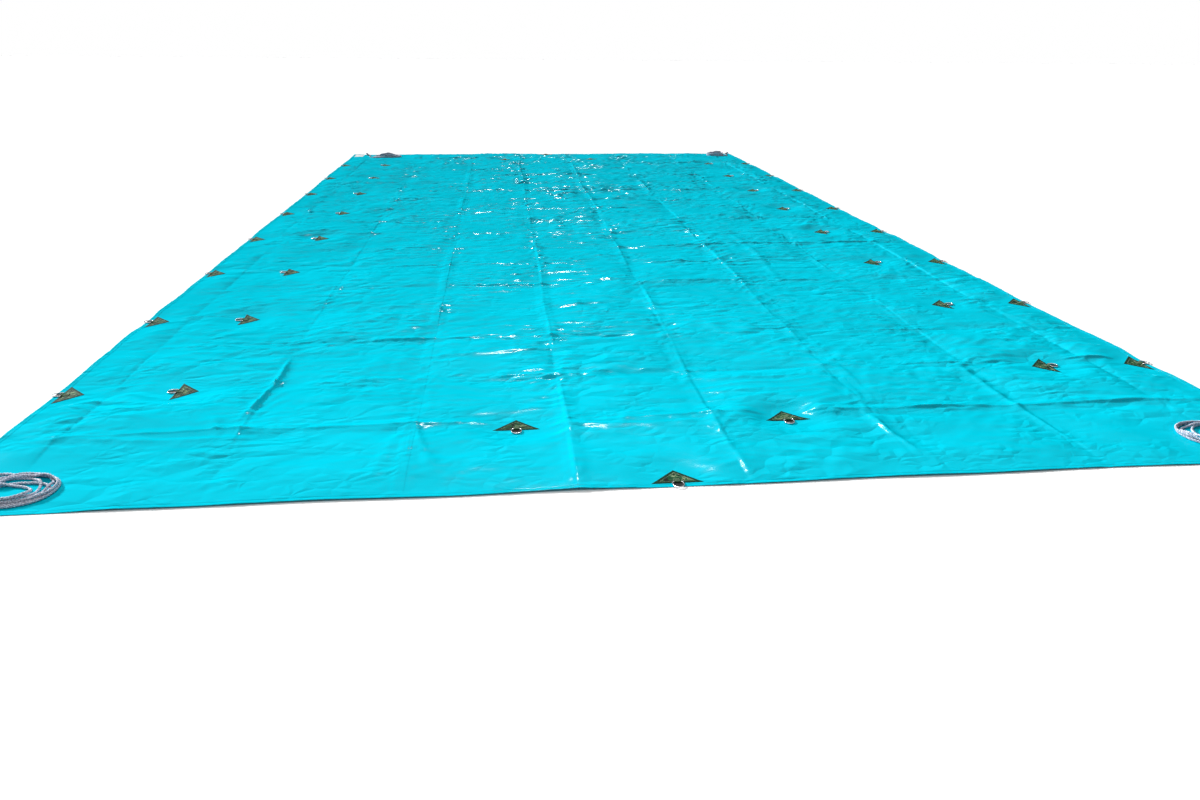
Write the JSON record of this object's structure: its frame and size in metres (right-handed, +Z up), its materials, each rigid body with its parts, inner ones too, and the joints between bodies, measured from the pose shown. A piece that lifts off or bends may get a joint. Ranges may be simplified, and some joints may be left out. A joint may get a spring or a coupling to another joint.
{
  "type": "ground sheet with lashing rings",
  "caption": "Large glossy turquoise ground sheet laid flat, hemmed all round, with camouflage patches holding hinged metal D-rings and a loosely coiled rope at each corner.",
  "frame": {"origin": "middle of the sheet on the floor it lies on", "axes": "+Y along the sheet's length from the near end to the far end, +X across its width to the right, +Z up off the floor"},
  "size_m": [5.022, 9.022, 0.0407],
  "materials": {
    "coated_fabric": "glossy turquoise PVC coating over woven fabric",
    "camouflage": "printed woodland camouflage on matte coated fabric",
    "webbing": "matte woven webbing",
    "rubber": "matte black",
    "rope": "three-strand laid synthetic fibre",
    "label": "satin white, blank",
    "steel": "polished nickel plate"
  },
  "bodies": {
    "root": {"panel_left": "coated_fabric", "panel_middle": "coated_fabric", "panel_right": "coated_fabric", "hem_front": "coated_fabric", "hem_back": "coated_fabric", "hem_left": "coated_fabric", "hem_right": "coated_fabric", "patches_hem": "camouflage", "patches_inner": "camouflage", "tabs": "webbing", "chafe_pads": "rubber", "corner_loops": "webbing", "rope_knots": "rope", "label": "label", "rope_front_left": "rope", "rope_front_right": "rope", "rope_back_left": "rope", "rope_back_right": "rope", "coil_front_left": "rope", "coil_front_right": "rope", "coil_back_left": "rope", "coil_back_right": "rope"},
    "ring_left_hem_1": {"ring_left_hem_1": "steel"},
    "ring_left_hem_2": {"ring_left_hem_2": "steel"},
    "ring_left_hem_3": {"ring_left_hem_3": "steel"},
    "ring_left_hem_4": {"ring_left_hem_4": "steel"},
    "ring_left_hem_5": {"ring_left_hem_5": "steel"},
    "ring_left_hem_6": {"ring_left_hem_6": "steel"},
    "ring_left_hem_7": {"ring_left_hem_7": "steel"},
    "ring_left_hem_8": {"ring_left_hem_8": "steel"},
    "ring_left_inner_1": {"ring_left_inner_1": "steel"},
    "ring_left_inner_2": {"ring_left_inner_2": "steel"},
    "ring_left_inner_3": {"ring_left_inner_3": "steel"},
    "ring_left_inner_4": {"ring_left_inner_4": "steel"},
    "ring_left_inner_5": {"ring_left_inner_5": "steel"},
    "ring_left_inner_6": {"ring_left_inner_6": "steel"},
    "ring_left_inner_7": {"ring_left_inner_7": "steel"},
    "ring_left_inner_8": {"ring_left_inner_8": "steel"},
    "ring_right_hem_1": {"ring_right_hem_1": "steel"},
    "ring_right_hem_2": {"ring_right_hem_2": "steel"},
    "ring_right_hem_3": {"ring_right_hem_3": "steel"},
    "ring_right_hem_4": {"ring_right_hem_4": "steel"},
    "ring_right_hem_5": {"ring_right_hem_5": "steel"},
    "ring_right_hem_6": {"ring_right_hem_6": "steel"},
    "ring_right_hem_7": {"ring_right_hem_7": "steel"},
    "ring_right_hem_8": {"ring_right_hem_8": "steel"},
    "ring_right_inner_1": {"ring_right_inner_1": "steel"},
    "ring_right_inner_2": {"ring_right_inner_2": "steel"},
    "ring_right_inner_3": {"ring_right_inner_3": "steel"},
    "ring_right_inner_4": {"ring_right_inner_4": "steel"},
    "ring_right_inner_5": {"ring_right_inner_5": "steel"},
    "ring_right_inner_6": {"ring_right_inner_6": "steel"},
    "ring_right_inner_7": {"ring_right_inner_7": "steel"},
    "ring_right_inner_8": {"ring_right_inner_8": "steel"},
    "ring_front_hem": {"ring_front_hem": "steel"},
    "ring_front_inner_1": {"ring_front_inner_1": "steel"},
    "ring_front_inner_2": {"ring_front_inner_2": "steel"},
    "ring_back_hem": {"ring_back_hem": "steel"},
    "ring_back_inner_1": {"ring_back_inner_1": "steel"},
    "ring_back_inner_2": {"ring_back_inner_2": "steel"}
  },
  "joints": [
    {"name": "ring_left_hem_1_hinge", "type": "hinge", "parent": "root", "child": "ring_left_hem_1", "pos_m": [-2.471, -3.5, 0.0046], "axis": [0, 1, 0], "range_deg": [0, 180]},
    {"name": "ring_left_hem_2_hinge", "type": "hinge", "parent": "root", "child": "ring_left_hem_2", "pos_m": [-2.471, -2.5, 0.0046], "axis": [0, 1, 0], "range_deg": [0, 180]},
    {"name": "ring_left_hem_3_hinge", "type": "hinge", "parent": "root", "child": "ring_left_hem_3", "pos_m": [-2.471, -1.5, 0.0046], "axis": [0, 1, 0], "range_deg": [0, 180]},
    {"name": "ring_left_hem_4_hinge", "type": "hinge", "parent": "root", "child": "ring_left_hem_4", "pos_m": [-2.471, -0.5, 0.0046], "axis": [0, 1, 0], "range_deg": [0, 180]},
    {"name": "ring_left_hem_5_hinge", "type": "hinge", "parent": "root", "child": "ring_left_hem_5", "pos_m": [-2.471, 0.5, 0.0046], "axis": [0, 1, 0], "range_deg": [0, 180]},
    {"name": "ring_left_hem_6_hinge", "type": "hinge", "parent": "root", "child": "ring_left_hem_6", "pos_m": [-2.471, 1.5, 0.0046], "axis": [0, 1, 0], "range_deg": [0, 180]},
    {"name": "ring_left_hem_7_hinge", "type": "hinge", "parent": "root", "child": "ring_left_hem_7", "pos_m": [-2.471, 2.5, 0.0046], "axis": [0, 1, 0], "range_deg": [0, 180]},
    {"name": "ring_left_hem_8_hinge", "type": "hinge", "parent": "root", "child": "ring_left_hem_8", "pos_m": [-2.471, 3.5, 0.0046], "axis": [0, 1, 0], "range_deg": [0, 180]},
    {"name": "ring_left_inner_1_hinge", "type": "hinge", "parent": "root", "child": "ring_left_inner_1", "pos_m": [-2, -3.5, 0.0046], "axis": [0, 1, 0], "range_deg": [0, 180]},
    {"name": "ring_left_inner_2_hinge", "type": "hinge", "parent": "root", "child": "ring_left_inner_2", "pos_m": [-2, -2.5, 0.0046], "axis": [0, 1, 0], "range_deg": [0, 180]},
    {"name": "ring_left_inner_3_hinge", "type": "hinge", "parent": "root", "child": "ring_left_inner_3", "pos_m": [-2, -1.5, 0.0046], "axis": [0, 1, 0], "range_deg": [0, 180]},
    {"name": "ring_left_inner_4_hinge", "type": "hinge", "parent": "root", "child": "ring_left_inner_4", "pos_m": [-2, -0.5, 0.0046], "axis": [0, 1, 0], "range_deg": [0, 180]},
    {"name": "ring_left_inner_5_hinge", "type": "hinge", "parent": "root", "child": "ring_left_inner_5", "pos_m": [-2, 0.5, 0.0046], "axis": [0, 1, 0], "range_deg": [0, 180]},
    {"name": "ring_left_inner_6_hinge", "type": "hinge", "parent": "root", "child": "ring_left_inner_6", "pos_m": [-2, 1.5, 0.0046], "axis": [0, 1, 0], "range_deg": [0, 180]},
    {"name": "ring_left_inner_7_hinge", "type": "hinge", "parent": "root", "child": "ring_left_inner_7", "pos_m": [-2, 2.5, 0.0046], "axis": [0, 1, 0], "range_deg": [0, 180]},
    {"name": "ring_left_inner_8_hinge", "type": "hinge", "parent": "root", "child": "ring_left_inner_8", "pos_m": [-2, 3.5, 0.0046], "axis": [0, 1, 0], "range_deg": [0, 180]},
    {"name": "ring_right_hem_1_hinge", "type": "hinge", "parent": "root", "child": "ring_right_hem_1", "pos_m": [2.471, -3.5, 0.0046], "axis": [0, -1, 0], "range_deg": [0, 180]},
    {"name": "ring_right_hem_2_hinge", "type": "hinge", "parent": "root", "child": "ring_right_hem_2", "pos_m": [2.471, -2.5, 0.0046], "axis": [0, -1, 0], "range_deg": [0, 180]},
    {"name": "ring_right_hem_3_hinge", "type": "hinge", "parent": "root", "child": "ring_right_hem_3", "pos_m": [2.471, -1.5, 0.0046], "axis": [0, -1, 0], "range_deg": [0, 180]},
    {"name": "ring_right_hem_4_hinge", "type": "hinge", "parent": "root", "child": "ring_right_hem_4", "pos_m": [2.471, -0.5, 0.0046], "axis": [0, -1, 0], "range_deg": [0, 180]},
    {"name": "ring_right_hem_5_hinge", "type": "hinge", "parent": "root", "child": "ring_right_hem_5", "pos_m": [2.471, 0.5, 0.0046], "axis": [0, -1, 0], "range_deg": [0, 180]},
    {"name": "ring_right_hem_6_hinge", "type": "hinge", "parent": "root", "child": "ring_right_hem_6", "pos_m": [2.471, 1.5, 0.0046], "axis": [0, -1, 0], "range_deg": [0, 180]},
    {"name": "ring_right_hem_7_hinge", "type": "hinge", "parent": "root", "child": "ring_right_hem_7", "pos_m": [2.471, 2.5, 0.0046], "axis": [0, -1, 0], "range_deg": [0, 180]},
    {"name": "ring_right_hem_8_hinge", "type": "hinge", "parent": "root", "child": "ring_right_hem_8", "pos_m": [2.471, 3.5, 0.0046], "axis": [0, -1, 0], "range_deg": [0, 180]},
    {"name": "ring_right_inner_1_hinge", "type": "hinge", "parent": "root", "child": "ring_right_inner_1", "pos_m": [2, -3.5, 0.0046], "axis": [0, -1, 0], "range_deg": [0, 180]},
    {"name": "ring_right_inner_2_hinge", "type": "hinge", "parent": "root", "child": "ring_right_inner_2", "pos_m": [2, -2.5, 0.0046], "axis": [0, -1, 0], "range_deg": [0, 180]},
    {"name": "ring_right_inner_3_hinge", "type": "hinge", "parent": "root", "child": "ring_right_inner_3", "pos_m": [2, -1.5, 0.0046], "axis": [0, -1, 0], "range_deg": [0, 180]},
    {"name": "ring_right_inner_4_hinge", "type": "hinge", "parent": "root", "child": "ring_right_inner_4", "pos_m": [2, -0.5, 0.0046], "axis": [0, -1, 0], "range_deg": [0, 180]},
    {"name": "ring_right_inner_5_hinge", "type": "hinge", "parent": "root", "child": "ring_right_inner_5", "pos_m": [2, 0.5, 0.0046], "axis": [0, -1, 0], "range_deg": [0, 180]},
    {"name": "ring_right_inner_6_hinge", "type": "hinge", "parent": "root", "child": "ring_right_inner_6", "pos_m": [2, 1.5, 0.0046], "axis": [0, -1, 0], "range_deg": [0, 180]},
    {"name": "ring_right_inner_7_hinge", "type": "hinge", "parent": "root", "child": "ring_right_inner_7", "pos_m": [2, 2.5, 0.0046], "axis": [0, -1, 0], "range_deg": [0, 180]},
    {"name": "ring_right_inner_8_hinge", "type": "hinge", "parent": "root", "child": "ring_right_inner_8", "pos_m": [2, 3.5, 0.0046], "axis": [0, -1, 0], "range_deg": [0, 180]},
    {"name": "ring_front_hem_hinge", "type": "hinge", "parent": "root", "child": "ring_front_hem", "pos_m": [0, -4.471, 0.0046], "axis": [-1, 0, 0], "range_deg": [0, 180]},
    {"name": "ring_front_inner_1_hinge", "type": "hinge", "parent": "root", "child": "ring_front_inner_1", "pos_m": [-0.55, -4, 0.0046], "axis": [-1, 0, 0], "range_deg": [0, 180]},
    {"name": "ring_front_inner_2_hinge", "type": "hinge", "parent": "root", "child": "ring_front_inner_2", "pos_m": [0.55, -4, 0.0046], "axis": [-1, 0, 0], "range_deg": [0, 180]},
    {"name": "ring_back_hem_hinge", "type": "hinge", "parent": "root", "child": "ring_back_hem", "pos_m": [0, 4.471, 0.0046], "axis": [1, 0, 0], "range_deg": [0, 180]},
    {"name": "ring_back_inner_1_hinge", "type": "hinge", "parent": "root", "child": "ring_back_inner_1", "pos_m": [-0.55, 4, 0.0046], "axis": [1, 0, 0], "range_deg": [0, 180]},
    {"name": "ring_back_inner_2_hinge", "type": "hinge", "parent": "root", "child": "ring_back_inner_2", "pos_m": [0.55, 4, 0.0046], "axis": [1, 0, 0], "range_deg": [0, 180]}
  ]
}
